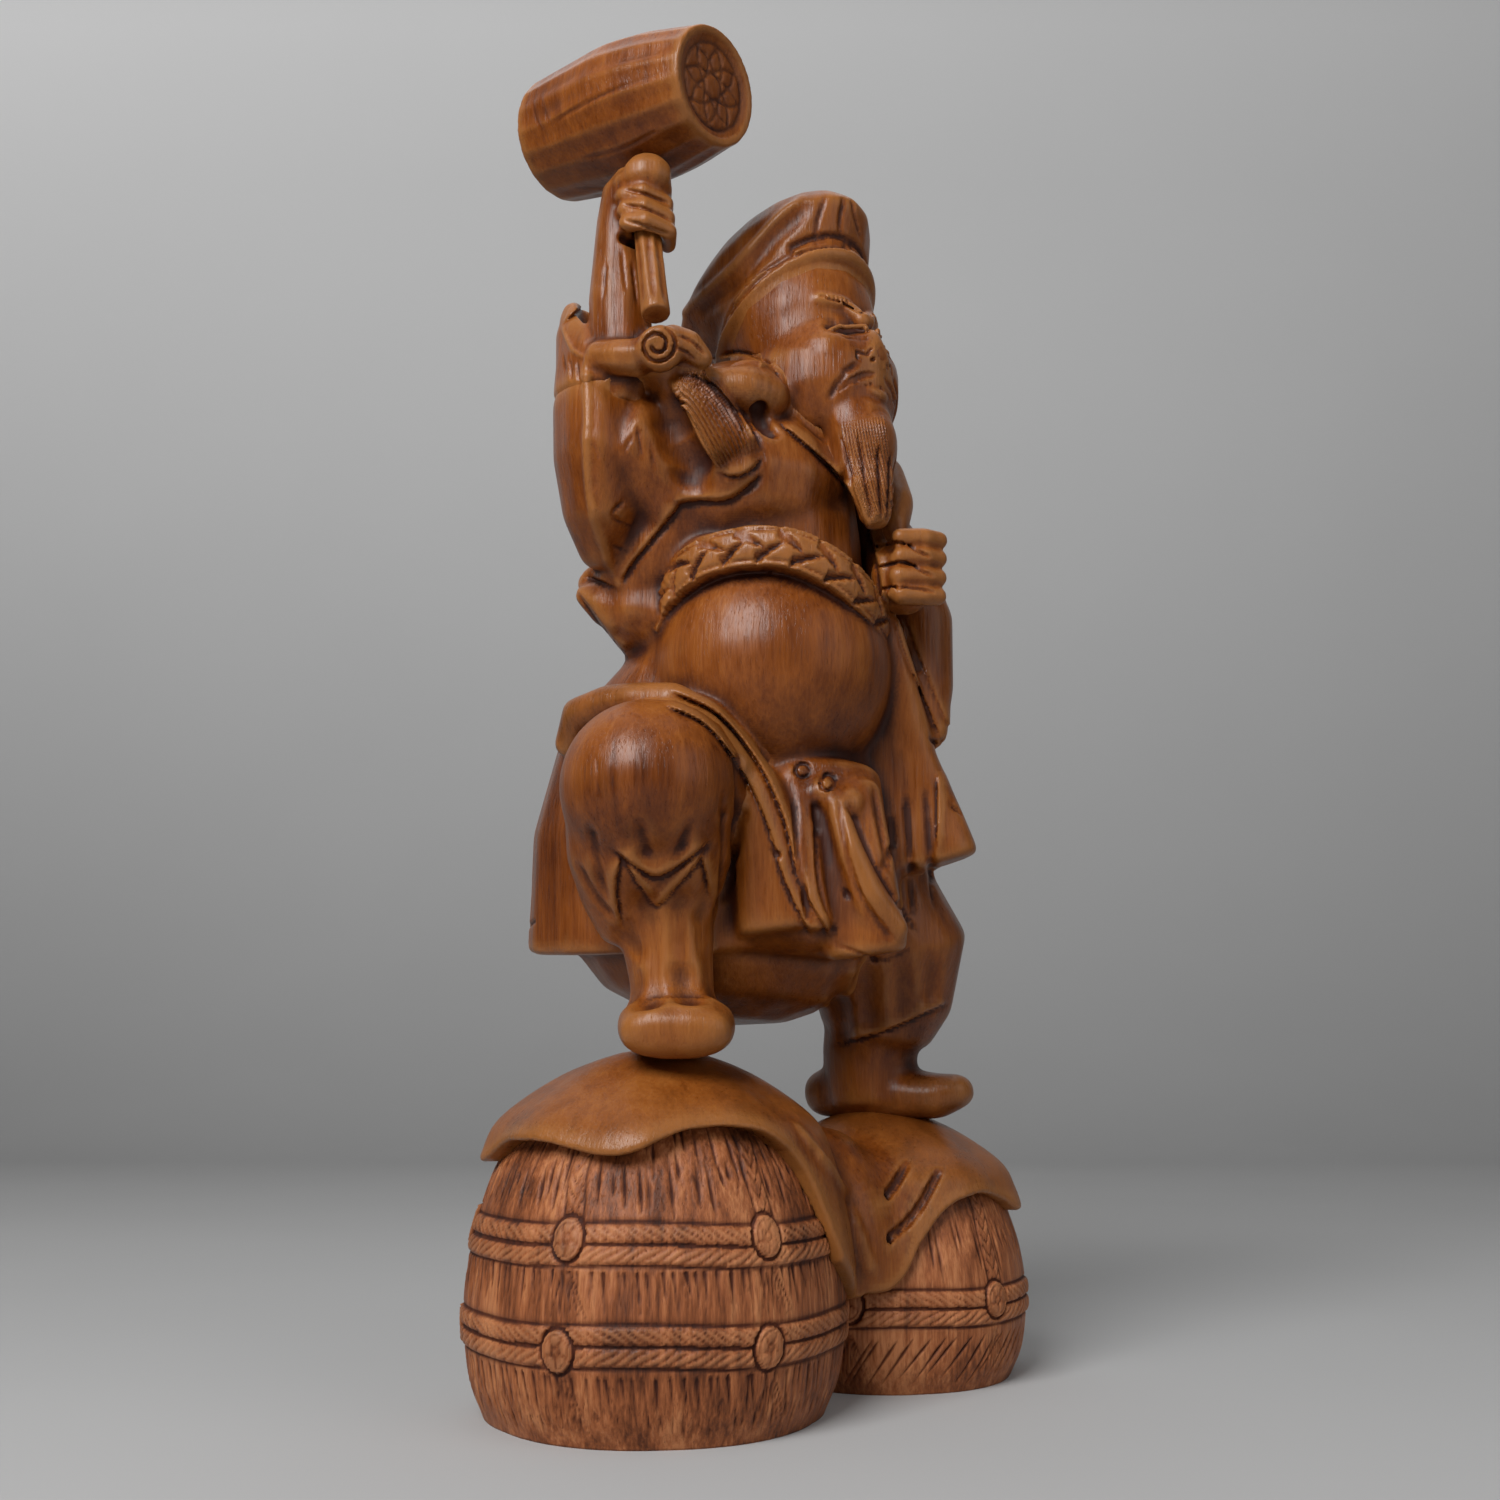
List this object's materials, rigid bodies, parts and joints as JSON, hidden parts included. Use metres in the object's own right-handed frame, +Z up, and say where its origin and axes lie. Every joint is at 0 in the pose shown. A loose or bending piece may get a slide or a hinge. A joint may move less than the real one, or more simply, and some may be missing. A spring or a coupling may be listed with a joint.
{
  "type": "carved wooden figure",
  "caption": "Carved wooden figure of a stout lucky god in cap and coat, dancing on cloth-covered rice bales, with a mallet raised in one hand and a sack held over the shoulder.",
  "frame": {"origin": "middle of the bounding box at the flat underside of the bales", "axes": "+Z up, the figure faces -Y, its right hand with the mallet is on the -X side"},
  "size_m": [0.1976, 0.1322, 0.4342],
  "materials": {
    "carved_wood": "honey-brown stained and waxed wood, satin, dark in the cuts and pale on worn edges",
    "straw_wood": "pinkish brown matt wood with fine upright gouge cuts like straw",
    "raw_wood": "plain unfinished hardwood, hidden in the joints"
  },
  "bodies": {
    "root": {"leg_right": "carved_wood", "leg_left": "carved_wood", "body": "carved_wood", "sack": "carved_wood", "head": "carved_wood", "cap": "carved_wood", "right_arm": "carved_wood", "left_hand": "carved_wood", "mallet_head": "carved_wood", "mallet_handle": "carved_wood", "cover_cloth": "carved_wood", "bale_right": "straw_wood", "bale_left": "straw_wood", "dowel_foot_right": "raw_wood", "dowel_foot_left": "raw_wood", "dowel_bales_front": "raw_wood", "dowel_bales_back": "raw_wood", "dowel_hip_right": "raw_wood", "dowel_hip_left": "raw_wood", "dowel_neck": "raw_wood", "dowel_arm": "raw_wood", "dowel_sack": "raw_wood"}
  },
  "joints": []
}
